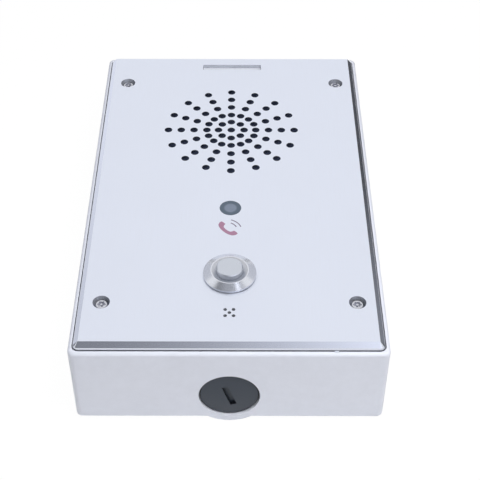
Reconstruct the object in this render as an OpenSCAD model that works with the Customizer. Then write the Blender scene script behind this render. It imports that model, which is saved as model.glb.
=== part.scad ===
// Outdoor video intercom for wall mounting, lying on its back.
// Origin: centre of the wall plane. +Z leaves the wall, +Y is the top of the unit. Millimetres.

/* [Case] */
// Outside width of the case
case_w = 144.2; // [140:0.1:170]
// Outside length of the case
case_l = 227.4; // [224:0.1:260]
// Height of the plate's face above the wall
face_height = 51; // [50:0.5:70]
// Radius of the case's upright corners
case_corner_r = 3.2; // [3:0.1:7]
// Thickness of the side walls below the plate's ledge
wall_t = 4.2; // [3.6:0.1:5]
// Thickness of the floor
floor_t = 3; // [2:0.1:4]
// Thickness of the lip round the plate
lip_t = 1.8; // [1.6:0.1:2]
// How far the lip stays below the plate's face
rim_drop = 3.3; // [2.8:0.1:4]
// Rounding of the lip's outer edge
rim_round = 1.5; // [0.5:0.1:1.6]
// Rounding of the case's back edge
back_round = 0.8; // [0.5:0.1:2.5]
// Diameter of the posts that take the plate's screws
post_d = 10; // [8:0.5:12]
// Thickness of the ribs that tie the posts to the side walls
rib_t = 4; // [2:0.5:6]

/* [Wall mounting] */
// Distance of the wall holes from the case's sides
wall_hole_inset_x = 22.1; // [19.1:0.1:25.1]
// Distance of the wall holes from the case's ends
wall_hole_inset_y = 13.7; // [13.7:0.1:18.7]
// Diameter of the wall holes
wall_hole_d = 5.5; // [4:0.1:6.5]
// Diameter of the rubber pads round the wall holes
pad_d = 16; // [12:0.5:16]
// Thickness of the pads, which hold the case off the wall
pad_t = 3; // [3:0.1:5]

/* [Cable entry] */
// Diameter of the threaded entry
entry_d = 25; // [20:0.5:25]
// How far the round hub that carries the thread reaches below the case's back
hub_drop = 2.7; // [2:0.1:2.7]
// Room between the hub and the plate's ledge
hub_room = 6.7; // [5:0.1:7.5]
// Depth of the hub from the wall's outside
hub_depth = 10; // [8:0.5:12]
// Width of the plug's head beyond its thread
plug_flange_w = 1.3; // [1:0.1:2]
// Thickness of the plug's head
plug_head_t = 2.2; // [2:0.1:4]
// Bevel round the plug's head
plug_bevel = 0.5; // [0.3:0.1:1.2]
// Rise of the plug's domed face above its edge
plug_dome = 0.8; // [0.4:0.1:1.2]
// How far the edge of the plug's face stays behind the outside of the wall
plug_sink = 0.8; // [0.3:0.1:1.2]
// Thickness of the plug's sealing ring
plug_seal_t = 0.6; // [0.4:0.1:1]
// Length of the plug's threaded shank
plug_shank_l = 7; // [5:0.5:9]
// Wall of the hollow shank
plug_wall = 2.5; // [1.5:0.1:4]
// Length of the coin slot
coin_slot_l = 12.8; // [8:0.1:18]
// Width of the coin slot
coin_slot_w = 3; // [1.5:0.1:3.5]
// Depth of the coin slot
coin_slot_depth = 1.8; // [0.8:0.1:1.8]
// Lean of the coin slot from upright
coin_slot_angle = 18; // [0:1:90]

/* [Face plate] */
// Gap between the plate and the lip
plate_gap = 0.5; // [0.3:0.1:0.8]
// Whole depth of the plate with its skirt
plate_depth = 7; // [6.5:0.1:9]
// Thickness of the face itself
plate_face_t = 3.5; // [3:0.1:4]
// Bevel round the face
plate_bevel = 2.5; // [1:0.1:2.6]
// Rounding of the bevel's outer edge
plate_edge_r = 1.2; // [0.3:0.1:1.4]
// Radius of the plate's corners
plate_corner_r = 2.7; // [2.7:0.1:4]
// Radius of the key on the plate's lower edge, which fits a notch in the lip
key_r = 1.4; // [1:0.1:2]
// Place of the key along the lower edge
key_x = 48; // [20:1:60]
// Width of the skirt behind the face
skirt_w = 6; // [4:0.1:6]
// Thickness of the gasket under the skirt
gasket_t = 1; // [0.6:0.1:1.5]
// Distance of the plate's screws from the case's sides
screw_inset_x = 13.2; // [12.6:0.1:14.1]
// Distance of the plate's screws from the case's ends
screw_inset_y = 28.6; // [26.7:0.1:30.7]
// Diameter of the screw recesses
recess_d = 8; // [7.6:0.1:9]
// Metal left under the screw heads
recess_web = 3; // [1:0.1:3.5]
// Diameter of the plate's screws
screw_d = 4; // [3:0.5:5]
// Diameter of the screw heads
screw_head_d = 7; // [6:0.1:7.4]
// Height of the screw heads
screw_head_h = 2.5; // [2:0.1:3]
// Length of the plate's screws below the head
screw_l = 16; // [10:1:20]
// Diameter of the bosses round the screw recesses
screw_boss_d = 12; // [10:0.5:14]

/* [Speaker] */
// Place of the speaker above the middle, as a share of the case's length
speaker_place = 0.1856; // [0.18:0.0001:0.194]
// Diameter of the sound holes
sound_hole_d = 4.1; // [2:0.1:4.5]
// Radius of the innermost ring of holes
first_ring_r = 6.93; // [6.2:0.01:7.5]
// Radius of the second ring of holes
second_ring_r = 13.2; // [12.6:0.1:13.8]
// Distance between the rings from the second outwards
ring_pitch = 6.93; // [6:0.01:7.2]
// Outside diameter of the speaker
speaker_d = 78; // [76:0.5:80]
// Depth of the speaker's basket
basket_depth = 11.5; // [10:0.5:12]
// Thickness of the speaker's foam gasket
speaker_gasket_t = 2.5; // [2:0.1:3]
// Outside diameter of the ring magnet
magnet_d = 46; // [44:0.5:50]
// Thickness of the ring magnet
magnet_t = 6; // [4:0.5:7]
// Diameter of the voice coil
coil_d = 20; // [18:0.5:21]

/* [Call button] */
// Place of the button below the middle, as a share of the case's length
button_place = 0.2946; // [0.29:0.0001:0.303]
// Diameter of the bezel
bezel_d = 25; // [24.6:0.1:27]
// Height of the bezel's lip above the face
bezel_h = 3; // [2.4:0.1:3.4]
// Diameter of the bezel's lip
bezel_lip_d = 18.1; // [15.5:0.1:19]
// Diameter of the threaded barrel
barrel_d = 22; // [21.6:0.1:22.4]
// Length of the barrel behind the face
barrel_l = 18; // [17:0.5:19]
// Diameter of the cap
cap_d = 12.4; // [11:0.1:13]
// Height of the cap above the face
cap_rise = 4.9; // [4.5:0.1:6]
// Travel of the cap
button_travel = 2.5; // [1:0.1:2.5]
// Width of the barrel's nut beyond the barrel, at its flats
nut_rim = 2.5; // [2:0.1:3.5]
// Thickness of the barrel's nut
nut_t = 4; // [3:0.5:5]
// Thickness of the seal under the bezel
button_seal_t = 0.3; // [0.2:0.1:0.6]

/* [Camera] */
// Place of the camera below the middle, as a share of the case's length
camera_place = 0.0906; // [0.084:0.0001:0.092]
// Diameter of the camera window
window_d = 10.7; // [10:0.1:13]
// Thickness of the camera window
window_t = 2; // [1:0.1:2.2]
// Width of the camera board
camera_board_w = 34; // [32:0.5:36]
// Length of the camera board
camera_board_l = 28; // [26:0.5:30]
// Length of the camera's stand-offs
standoff_l = 19.9; // [19.5:0.1:20.5]

/* [Microphone] */
// Place of the microphone below the middle, as a share of the case's length
mic_place = 0.4024; // [0.4:0.0001:0.404]
// Diameter of the microphone holes
mic_hole_d = 1.7; // [1:0.1:2]
// Distance of the outer microphone holes from the middle, across and along
mic_hole_step = 1.92; // [1.6:0.01:2.1]
// Diameter of the microphone capsule
mic_d = 9.7; // [9:0.1:10]
// Height of the microphone capsule
mic_h = 6.7; // [5:0.1:7]
// Wall of the microphone's rubber boot
boot_wall = 2; // [1.5:0.1:2.5]

/* [Light bar] */
// Place of the light bar above the middle, as a share of the case's length
light_place = 0.442; // [0.44:0.0001:0.444]
// Length of the light slot
light_l = 33.3; // [28:0.1:36]
// Width of the light slot
light_w = 4.9; // [4:0.1:5]
// Depth of the lens below the face
light_recess = 2; // [1:0.1:2.5]

/* [Main board] */
// Distance of the main board from the case's sides
board_inset_x = 22.1; // [21.1:0.1:24.1]
// Distance of the main board from the case's ends
board_inset_y = 38.7; // [36.7:0.1:39.7]
// Thickness of the boards
board_t = 1.6; // [1:0.1:2]
// Height of the posts under the main board
board_post_h = 6; // [4:0.5:6]

/* [Hidden] */
$fn = 48;
// Overshoot of cutting shapes
eps = 0.5;
// Room between a screw or pin and its hole
fit = 0.05;
// Room between loosely fitted pieces
loose = 0.15;

// Levels above the wall
back_z = pad_t;
floor_z = back_z + floor_t;
face_z = face_height;
skin_z = face_z - plate_face_t;
seat_z = face_z - plate_depth;
ledge_z = seat_z - gasket_t;
rim_z = face_z - rim_drop;

// Plan sizes of the plate, its pocket and the case's inside
pocket_w = case_w - 2 * lip_t;
pocket_l = case_l - 2 * lip_t;
plate_w = pocket_w - 2 * plate_gap;
plate_l = pocket_l - 2 * plate_gap;
inside_w = case_w - 2 * wall_t;
inside_l = case_l - 2 * wall_t;
inside_r = 1;
lower_wall_y = -case_l / 2;

// Key of the plate, which ends a little above the lip
key_reach = 0.6;
key_rise = 0.2;
key_bevel = 0.6;
key_y = -plate_l / 2 + key_r - key_reach;

// Places along the case
speaker_y = speaker_place * case_l;
camera_y = -camera_place * case_l;
button_y = -button_place * case_l;
mic_y = -mic_place * case_l;
light_y = light_place * case_l;

// Ribs end below the ledge
rib_drop = 2;

// Plate screws
screw_hole_room = 1;
head_top_d = 0.72 * screw_head_d;
lobe_r = 0.24 * screw_head_d;
lobe_d = 0.11 * screw_head_d;
drive_pin_d = 0.15 * screw_head_d;
drive_floor = 0.45 * screw_head_h;
recess_floor_z = seat_z + recess_web;
screw_tip_z = recess_floor_z - screw_l;
screw_x = case_w / 2 - screw_inset_x;
screw_y = case_l / 2 - screw_inset_y;
wall_hole_x = case_w / 2 - wall_hole_inset_x;
wall_hole_y = case_l / 2 - wall_hole_inset_y;
screw_points = [for (sx = [-1, 1], sy = [-1, 1]) [sx * screw_x, sy * screw_y]];
wall_points = [for (sx = [-1, 1], sy = [-1, 1]) [sx * wall_hole_x, sy * wall_hole_y]];

// Cable entry
hub_r = (ledge_z - hub_room - back_z + hub_drop) / 2;
entry_z = back_z - hub_drop + hub_r;
plug_head_d = entry_d + 2 * plug_flange_w;
plug_seat_y = lower_wall_y + plug_sink + plug_head_t;
mouth_room = 0.4;
mouth_r = plug_head_d / 2 + mouth_room;
plug_clear = 0.08;
plug_web = 2;
plug_seal_r = plug_head_d / 2 - 0.5;
plug_seal_room = 0.02;

// Speaker levels, from the mesh behind the face down to the yoke
mesh_t = 0.3;
mesh_z = skin_z - mesh_t;
speaker_flange_t = 1.2;
speaker_flange_z = mesh_z - speaker_gasket_t;
flange_back_z = speaker_flange_z - speaker_flange_t;
basket_z = flange_back_z - basket_depth;
basket_t = 1.2;
top_plate_t = 3;
top_plate_z = basket_z - top_plate_t;
magnet_z = top_plate_z - magnet_t;
yoke_t = 3;
yoke_z = magnet_z - yoke_t;
speaker_r = speaker_d / 2;
basket_inset = 2;
basket_floor_r = magnet_d / 2 - basket_inset;
basket_window_w = 12;
basket_window_z = basket_z + 3.5;
basket_window_h = basket_depth - 6;
flange_w = 4;
surround_seat = 1.7;
surround_lap = 2;
surround_t = 0.4;
roll_t = 0.5;
roll_w = 5;
cone_r = speaker_r - flange_w - roll_w;
coil_r = coil_d / 2;
coil_t = 0.5;
coil_gap = 0.5;
coil_below = 1.5;
neck_gap = 1.5;
cone_t = 0.5;
cone_neck_z = basket_z + 3.6;
cap_ring_z = basket_z + 4.8;
spider_t = 0.4;
spider_gap = 0.1;
spider_edge = 0.6;
magnet_gap = 3;
magnet_edge = 1;
clamp_point_r = speaker_r + 5.5;
clamp_points = [for (turn = [45:90:315])
    [clamp_point_r * cos(turn), speaker_y + clamp_point_r * sin(turn)]];
clamp_t = 1.5;
clamp_w = 8;
clamp_l = 12;
clamp_lap = 2.4;
clamp_boss_d = 7;
small_screw_d = 3;
small_head_d = 5.5;
small_head_h = 2;
small_drive_d = 2.2;
small_hole_d = small_screw_d + 2 * fit;
tip_room = 0.3;

// Call button, levels above the wall
bezel_seat_z = face_z + button_seal_t;
bezel_edge_t = 0.9;
bezel_lip_w = 0.4;
dish_drop = 0.9;
seal_inset = 0.9;
cap_clear = 0.06;
cap_neck_z = face_z - 1.5;
cap_shoulder_t = 2.5;
cap_shoulder_r = 8.2;
cap_edge = 0.4;
stem_r = 3;
block_top_z = face_z - 13;
barrel_end_z = face_z - barrel_l;
block_end_z = barrel_end_z - 7;
stem_end_z = block_top_z - 1;
stem_room = 0.4;
stem_well_z = stem_end_z - button_travel - 0.5;
block_r = barrel_d / 2 - 0.2;
spring_wire_d = 0.8;
spring_r = 5;
spring_turns = 5;
spring_steps = 12;
spring_sides = 6;
terminal_h = 3;
terminal_size = [0.8, 2.8, terminal_h];
terminal_step = 6;

// Camera levels
window_seal_t = 0.3;
window_seal_z = face_z - window_t - window_seal_t;
camera_hole_r = window_d / 2 - 1;
camera_board_z = skin_z - standoff_l - board_t;
camera_board_top_z = camera_board_z + board_t;
lens_top_z = skin_z - 1;
lens_head_d = 14;
lens_head_h = 5.5;
lens_thread_d = 12;
lens_l = 15;
lens_rim = 2;
lens_glass_t = 2.5;
lens_glass_sink = 0.3;
lens_dome_r = 9;
lens_bore_d = 8;
holder_wall = 1.6;
holder_base_h = 3;
holder_base_over = 1;
sensor_size = [7, 7, 1.2];
standoff_flats = 5;
standoff_bore = 7;
stud_l = 2;
camera_screw_l = 6;
camera_edge = 3.5;
camera_points = [for (sx = [-1, 1], sy = [-1, 1])
    [sx * (camera_board_w / 2 - camera_edge), camera_y + sy * (camera_board_l / 2 - camera_edge)]];

// Microphone levels
mic_seal_z = skin_z - mesh_t;
mic_room = 0.5;
boot_floor_z = mic_seal_z - mic_h - mic_room;
boot_z = boot_floor_z - boot_wall;
boot_r = mic_d / 2 + fit + boot_wall;

// Light bar levels
light_flange_t = 1.5;
light_flange_over = 1.2;
light_flange_r = 0.8;
light_slot_r = 0.5;
light_lens_r = 0.4;
light_boss_d = 6;
light_board_top_z = skin_z - 4;
light_board_z = light_board_top_z - board_t;
light_boss_x = light_l / 2 + 6;
light_board_l = 2 * light_boss_x + light_boss_d;
light_board_w = 8;
led_size = [3.5, 2.8, 1.4];
led_count = 6;

// Main board levels and the places of what stands on it
board_w = case_w - 2 * board_inset_x;
board_l = case_l - 2 * board_inset_y;
board_z = floor_z + board_post_h;
board_top_z = board_z + board_t;
board_post_d = 7;
board_edge = 4;
board_points = [for (sx = [-1, 1], sy = [-1, 0, 1])
    [sx * (board_w / 2 - board_edge), sy * (board_l / 2 - board_edge)]];
jack_size = [16, 21.3, 13.5];
jack_mouth = [jack_size[0] - 4, 14, jack_size[2] - 5];
jack_sill = 2.5;
jack_at = [board_w / 2 - 16, -0.387 * board_l];
terminal_block_size = [15.5, 8.5, 10];
terminal_pitch = 5;
terminal_screw_d = 3.6;
terminal_screw_floor = 4;
terminal_screw_shift = 1.5;
terminal_mouth = [3.2, 3, 3];
terminal_mouth_sill = 1;
terminal_block_at = [for (share = [-0.427, -0.34]) [16 - board_w / 2, share * board_l]];
relay_size = [19, 15.5, 14];
relay_at = [12 - board_w / 2, -0.213 * board_l];
transformer_size = [18, 16, 11];
transformer_flange_h = 2;
transformer_inset = 2;
transformer_at = [board_w / 2 - 14, -0.187 * board_l];
capacitor_d = 8;
capacitor_h = 11;
groove_z = 1.2;
groove_depth = 0.4;
capacitor_at = [for (share = [-0.06, 0.007, 0.074]) [board_w / 2 - 15, share * board_l]];
shield_size = [32, 32, 3];
chip_size = [9, 9, 1.4];
chip_shares = [[-0.3, 0], [-0.3, 0.13], [-0.15, 0.04], [0.14, 0.03], [-0.34, 0.4], [0.26, 0.43]];
chip_at = [for (share = chip_shares) [share[0] * board_w, share[1] * board_l]];
header_size = [8, 6, 3];
header_top_z = board_top_z + header_size[2];

// Leads: the upper end on its device, the lower end on its header
wire_d = 1.4;
lead_steps = 14;
lead_stub = 1;
wire_sides = 8;
wire_shift = 0.7 * wire_d;
ribbon_w = 4.8;
ribbon_t = 0.4;
tag_r = speaker_r - 4;
tag_size = [4, 8];
tag_z = flange_back_z - 4.5;
speaker_lead_top = [tag_r + 1, speaker_y, tag_z];
speaker_header = [board_w / 2 - 9, speaker_y - 14];
button_lead_top = [0, button_y - terminal_step, block_end_z - terminal_h];
button_header = [0.15 * board_w, button_y + 3];
camera_lead_top = [-8, camera_y, camera_board_z];
camera_header = [-0.22 * board_w, camera_y];
mic_lead_top = [0, mic_y, boot_z];
mic_header = [-0.16 * board_w, 6 - board_l / 2];
light_lead_top = [light_boss_x - 6, light_y, light_board_z];
light_header = [board_w / 2 - 10, board_l / 2 - 12];
headers = [speaker_header, button_header, camera_header, mic_header, light_header];

// Shared shapes

// Flat rectangle with round corners
module rounded_rect(w, l, r) {
    square([w - 2 * r, l], center = true);
    square([w, l - 2 * r], center = true);
    for (sx = [-1, 1], sy = [-1, 1])
        translate([sx * (w / 2 - r), sy * (l / 2 - r)])
            circle(r = r);
}

// Upright block with round corners between two levels
module slab(w, l, r, low, high) {
    translate([0, 0, low])
        linear_extrude(high - low)
            rounded_rect(w, l, r);
}

// Block whose edge follows a profile: x runs out from the corner's centre, y is the level
module edged_block(w, l, r, low, high) {
    half_w = w / 2 - r;
    half_l = l / 2 - r;
    translate([-half_w, -half_l, low])
        cube([2 * half_w, 2 * half_l, high - low]);
    for (turn = [0:3])
        translate([half_w * (turn == 0 || turn == 3 ? 1 : -1), half_l * (turn < 2 ? 1 : -1), 0])
            rotate(90 * turn)
                rotate_extrude(angle = 90)
                    children();
    for (side = [0, 1])
        mirror([side, 0, 0])
            translate([half_w, half_l, 0])
                rotate([90, 0, 0])
                    linear_extrude(2 * half_l)
                        children();
    for (side = [0, 1])
        mirror([0, side, 0])
            translate([-half_w, half_l, 0])
                rotate([90, 0, 90])
                    linear_extrude(2 * half_w)
                        children();
}

// Round pin or hole between two levels at a place in plan
module column(at, d, low, high) {
    translate([at[0], at[1], low])
        cylinder(d = d, h = high - low);
}

// Round ring between two levels about an upright axis
module ring(at, outer_r, inner_r, low, high) {
    difference() {
        column(at, 2 * outer_r, low, high);
        column(at, 2 * inner_r, low - eps, high + eps);
    }
}

// Box that stands on a level, centred in plan
module standing_box(at, size, low) {
    translate([at[0] - size[0] / 2, at[1] - size[1] / 2, low])
        cube(size);
}

// Screw whose head points up from its seat and whose shank goes down
module pan_screw(head_d, head_h, shank_d, shank_l, drive_d) {
    difference() {
        union() {
            cylinder(d = head_d, h = head_h);
            translate([0, 0, -shank_l])
                cylinder(d = shank_d, h = shank_l);
        }
        translate([0, 0, head_h / 2])
            cylinder(d = drive_d, h = head_h, $fn = 6);
    }
}

// Solid skin over a list of rings that all have the same number of points
module skin(rings) {
    sides = len(rings[0]);
    last = len(rings) - 1;
    points = [for (one = rings, p = one) p];
    walls = [for (i = [0:last - 1], k = [0:sides - 1])
        let (next = (k + 1) % sides)
            each [
                [i * sides + k, (i + 1) * sides + k, (i + 1) * sides + next],
                [i * sides + k, (i + 1) * sides + next, i * sides + next]
            ]];
    first_cap = [for (k = [0:sides - 1]) k];
    last_cap = [for (k = [sides - 1:-1:0]) last * sides + k];
    polyhedron(points = points, faces = concat([first_cap], walls, [last_cap]));
}

function unit(v) = v / norm(v);
function curve_point(a, b, c, d, t) =
    pow(1 - t, 3) * a + 3 * pow(1 - t, 2) * t * b + 3 * (1 - t) * t * t * c + pow(t, 3) * d;
function curve_way(a, b, c, d, t) =
    unit(pow(1 - t, 2) * (b - a) + 2 * (1 - t) * t * (c - b) + t * t * (d - c));

// Lead that leaves its device downwards and meets its header from above
module lead(top, header, half_w, half_t, sides, shift) {
    foot = [header[0], header[1], header_top_z];
    across = unit(cross([0, 0, 1], [foot[0] - top[0], foot[1] - top[1], 0]));
    stub = [0, 0, lead_stub];
    pull = [0, 0, (top[2] - foot[2]) / 2 - lead_stub];
    a = top + shift * across - stub;
    d = foot + shift * across + stub;
    spots = concat(
        [[a + stub, [0, 0, -1]]],
        [for (i = [0:lead_steps])
            let (t = i / lead_steps)
                [curve_point(a, a - pull, d + pull, d, t), curve_way(a, a - pull, d + pull, d, t)]],
        [[d - stub, [0, 0, -1]]]
    );
    skin([for (spot = spots)
        let (out = cross(spot[1], across))
            [for (k = [0:sides - 1])
                let (turn = 360 * (k + 0.5) / sides)
                    spot[0] + across * half_w * cos(turn) + out * half_t * sin(turn)]]);
}

// Pair of round wires side by side
module wire_pair(top, header) {
    for (side = [-1, 1])
        lead(top, header, wire_d / 2, wire_d / 2, wire_sides, side * wire_shift);
}

// Case and plate

module case_profile() {
    middle_z = (back_z + rim_z) / 2;
    translate([0, back_z + back_round])
        square([case_corner_r, rim_z - rim_round - back_z - back_round]);
    translate([0, back_z])
        square([case_corner_r - back_round, middle_z - back_z]);
    translate([0, middle_z])
        square([case_corner_r - rim_round, rim_z - middle_z]);
    translate([case_corner_r - back_round, back_z + back_round])
        circle(r = back_round);
    translate([case_corner_r - rim_round, rim_z - rim_round])
        circle(r = rim_round);
}

// Cylinder along the entry's axis, from the lower wall's outside inwards
module entry_cylinder(r, from_y, length) {
    translate([0, from_y, entry_z])
        rotate([-90, 0, 0])
            cylinder(r = r, h = length);
}

module rear_housing() {
    color("silver")
        difference() {
            union() {
                difference() {
                    edged_block(case_w, case_l, case_corner_r, back_z, rim_z)
                        case_profile();
                    slab(inside_w, inside_l, inside_r, floor_z, rim_z + eps);
                    slab(pocket_w, pocket_l, plate_corner_r + plate_gap, ledge_z, rim_z + eps);
                }
                for (p = screw_points) {
                    column(p, post_d, floor_z - eps, seat_z);
                    translate([p[0] > 0 ? p[0] : -case_w / 2 + lip_t, p[1] - rib_t / 2, floor_z - eps])
                        cube([screw_inset_x - lip_t, rib_t, ledge_z - rib_drop - floor_z]);
                }
                for (p = board_points)
                    column(p, board_post_d, floor_z - eps, board_z);
                entry_cylinder(hub_r, lower_wall_y, hub_depth);
            }
            for (p = screw_points)
                column(p, screw_d + 2 * fit, screw_tip_z - screw_hole_room, seat_z + eps);
            for (p = board_points)
                column(p, small_hole_d, floor_z, board_z + eps);
            for (p = wall_points)
                column(p, wall_hole_d, back_z - eps, floor_z + eps);
            entry_cylinder(entry_d / 2, lower_wall_y - eps, hub_depth + 2 * eps);
            entry_cylinder(mouth_r, lower_wall_y - eps, plug_seat_y + plug_seal_t - lower_wall_y + eps);
            column([key_x, key_y], 2 * (key_r + plate_gap), ledge_z, rim_z + eps);
        }
}

// The corner between side and bevel is rounded; its arc meets both at this reach
module plate_profile() {
    reach = plate_edge_r * tan(22.5);
    bevel_z = face_z - plate_bevel;
    polygon([
        [0, seat_z],
        [plate_corner_r, seat_z],
        [plate_corner_r, bevel_z - reach],
        [plate_corner_r - reach * sin(45), bevel_z + reach * cos(45)],
        [plate_corner_r - plate_bevel, face_z],
        [0, face_z]
    ]);
    translate([plate_corner_r - plate_edge_r, bevel_z - reach])
        circle(r = plate_edge_r);
}

function ring_r(step) = step == 0 ? first_ring_r : second_ring_r + (step - 1) * ring_pitch;

module sound_holes() {
    column([0, speaker_y], sound_hole_d, skin_z - eps, face_z + eps);
    for (step = [0:4])
        for (turn = [0:(step == 0 ? 7 : 15)])
            let (angle = turn * 360 / (step == 0 ? 8 : 16))
                column(
                    [ring_r(step) * cos(angle), speaker_y + ring_r(step) * sin(angle)],
                    sound_hole_d, skin_z - eps, face_z + eps
                );
}

module mic_holes() {
    for (step = [[0, 0], [-1, -1], [-1, 1], [1, -1], [1, 1]])
        column(
            [mic_hole_step * step[0], mic_y + mic_hole_step * step[1]],
            mic_hole_d, skin_z - eps, face_z + eps
        );
}

module front_plate() {
    color("gainsboro")
        difference() {
            union() {
                difference() {
                    edged_block(plate_w, plate_l, plate_corner_r, seat_z, face_z)
                        plate_profile();
                    slab(plate_w - 2 * skirt_w, plate_l - 2 * skirt_w, inside_r, seat_z - eps, skin_z);
                }
                column([key_x, key_y], 2 * key_r, seat_z, rim_z + key_rise - key_bevel);
                translate([key_x, key_y, rim_z + key_rise - key_bevel - eps])
                    cylinder(r1 = key_r, r2 = key_r - key_bevel, h = key_bevel);
                for (p = screw_points)
                    column(p, screw_boss_d, seat_z, skin_z + eps);
                for (p = clamp_points)
                    column(p, clamp_boss_d, flange_back_z, skin_z + eps);
                for (side = [-1, 1])
                    column([side * light_boss_x, light_y], light_boss_d, light_board_top_z, skin_z + eps);
            }
            sound_holes();
            mic_holes();
            for (p = screw_points) {
                column(p, recess_d, recess_floor_z, face_z + eps);
                column(p, screw_d + 4 * fit, seat_z - eps, face_z);
            }
            for (p = clamp_points)
                column(p, small_hole_d, flange_back_z - eps, skin_z);
            for (side = [-1, 1])
                column([side * light_boss_x, light_y], small_hole_d, light_board_top_z - eps, skin_z);
            for (p = camera_points)
                column(p, small_hole_d, skin_z - eps, skin_z + stud_l + tip_room);
            column([0, camera_y], window_d + 2 * fit, window_seal_z, face_z + eps);
            column([0, camera_y], 2 * camera_hole_r, skin_z - eps, face_z);
            column([0, button_y], barrel_d + 2 * loose, skin_z - eps, face_z + eps);
            translate([0, light_y, 0])
                slab(light_l, light_w, light_slot_r, skin_z - eps, face_z + eps);
        }
}

module plate_gasket() {
    color("dimgray")
        difference() {
            slab(pocket_w - 4 * loose, pocket_l - 4 * loose, plate_corner_r, ledge_z, seat_z);
            slab(inside_w, inside_l, inside_r, ledge_z - eps, seat_z + eps);
        }
}

module plate_screws() {
    color("lightgray")
        for (p = screw_points)
            translate([p[0], p[1], recess_floor_z])
                difference() {
                    union() {
                        cylinder(d = screw_head_d, h = screw_head_h / 2);
                        translate([0, 0, screw_head_h / 2])
                            cylinder(d1 = screw_head_d, d2 = head_top_d, h = screw_head_h / 2);
                        translate([0, 0, -screw_l])
                            cylinder(d = screw_d, h = screw_l);
                    }
                    difference() {
                        translate([0, 0, drive_floor])
                            linear_extrude(screw_head_h)
                                union() {
                                    circle(r = lobe_r);
                                    for (turn = [0:60:300])
                                        rotate(turn)
                                            translate([lobe_r, 0])
                                                circle(d = lobe_d);
                                }
                        cylinder(d = drive_pin_d, h = screw_head_h);
                    }
                }
}

module wall_pads() {
    color("darkslategray")
        for (p = wall_points)
            ring(p, pad_d / 2, wall_hole_d / 2, 0, back_z);
}

// Cable entry plug

// Half section of the plug: hollow shank, flange and a shallow dome in front
module plug_profile() {
    head_r = plug_head_d / 2;
    shank_r = entry_d / 2 - plug_clear;
    dome_edge_r = head_r - plug_bevel;
    dome_r = (pow(dome_edge_r, 2) + pow(plug_dome, 2)) / (2 * plug_dome);
    polygon([
        [0, -plug_web],
        [shank_r - plug_wall, -plug_web],
        [shank_r - plug_wall, -plug_shank_l],
        [shank_r, -plug_shank_l],
        [shank_r, 0],
        [head_r, 0],
        [head_r, plug_head_t - plug_bevel],
        [dome_edge_r, plug_head_t],
        [0, plug_head_t]
    ]);
    intersection() {
        translate([0, plug_head_t + plug_dome - dome_r])
            circle(r = dome_r, $fn = 720);
        translate([0, plug_head_t - plug_bevel])
            square([dome_edge_r, plug_bevel + 2 * plug_dome]);
    }
}

module cable_plug() {
    color("darkslategray")
        difference() {
            translate([0, plug_seat_y, entry_z])
                rotate([90, 0, 0])
                    rotate_extrude()
                        plug_profile();
            translate([0, plug_seat_y - plug_head_t - plug_dome - eps, entry_z])
                rotate([0, -coin_slot_angle, 0])
                    translate([-coin_slot_w / 2, 0, -coin_slot_l / 2])
                        cube([coin_slot_w, coin_slot_depth + eps, coin_slot_l]);
        }
}

module plug_seal() {
    color("black")
        difference() {
            entry_cylinder(plug_seal_r, plug_seat_y + plug_seal_room, plug_seal_t - 2 * plug_seal_room);
            entry_cylinder(entry_d / 2 + loose, plug_seat_y - eps, plug_seal_t + 2 * eps);
        }
}

// Call button

module button_bezel() {
    cap_bore_r = cap_d / 2 + cap_clear;
    lip_r = bezel_lip_d / 2;
    shoulder_bore_r = cap_shoulder_r + 2 * loose;
    color("lightsteelblue")
        translate([0, button_y, 0])
            rotate_extrude()
                polygon([
                    [barrel_d / 2, bezel_seat_z],
                    [bezel_d / 2, bezel_seat_z],
                    [bezel_d / 2, bezel_seat_z + bezel_edge_t],
                    [lip_r, face_z + bezel_h],
                    [lip_r - bezel_lip_w, face_z + bezel_h],
                    [cap_bore_r, face_z + bezel_h - dish_drop],
                    [cap_bore_r, cap_neck_z],
                    [shoulder_bore_r, cap_neck_z],
                    [shoulder_bore_r, barrel_end_z],
                    [barrel_d / 2, barrel_end_z]
                ]);
}

module button_cap() {
    cap_r = cap_d / 2;
    cap_z = face_z + cap_rise;
    shoulder_z = cap_neck_z - fit;
    color("lightgray")
        translate([0, button_y, 0])
            rotate_extrude()
                polygon([
                    [0, stem_end_z],
                    [stem_r, stem_end_z],
                    [stem_r, shoulder_z - cap_shoulder_t],
                    [cap_shoulder_r, shoulder_z - cap_shoulder_t],
                    [cap_shoulder_r, shoulder_z],
                    [cap_r, shoulder_z],
                    [cap_r, cap_z - cap_edge],
                    [cap_r - cap_edge, cap_z],
                    [0, cap_z]
                ]);
}

module button_seal() {
    color("black")
        ring([0, button_y], bezel_d / 2 - seal_inset, barrel_d / 2 + fit, face_z, bezel_seat_z);
}

module button_nut() {
    nut_flats = barrel_d + 2 * nut_rim;
    color("silver")
        difference() {
            translate([0, button_y, skin_z - nut_t])
                cylinder(d = nut_flats / cos(30), h = nut_t, $fn = 6);
            column([0, button_y], barrel_d + 2 * fit, skin_z - nut_t - eps, skin_z + eps);
        }
}

module button_spring() {
    wire_r = spring_wire_d / 2;
    low = block_top_z + wire_r + fit;
    high = cap_neck_z - fit - cap_shoulder_t - wire_r - fit;
    steps = spring_turns * spring_steps;
    rise = (high - low) / (2 * PI * spring_turns);
    color("gainsboro")
        translate([0, button_y, 0])
            skin([for (i = [0:steps])
                let (
                    turn = i * 360 / spring_steps,
                    radial = [cos(turn), sin(turn), 0],
                    way = unit([-spring_r * sin(turn), spring_r * cos(turn), rise]),
                    upright = cross(way, radial),
                    middle = spring_r * radial + [0, 0, low + (high - low) * i / steps]
                )
                    [for (k = [0:spring_sides - 1])
                        let (side = k * 360 / spring_sides)
                            middle + wire_r * (radial * cos(side) + upright * sin(side))]]);
}

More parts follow.
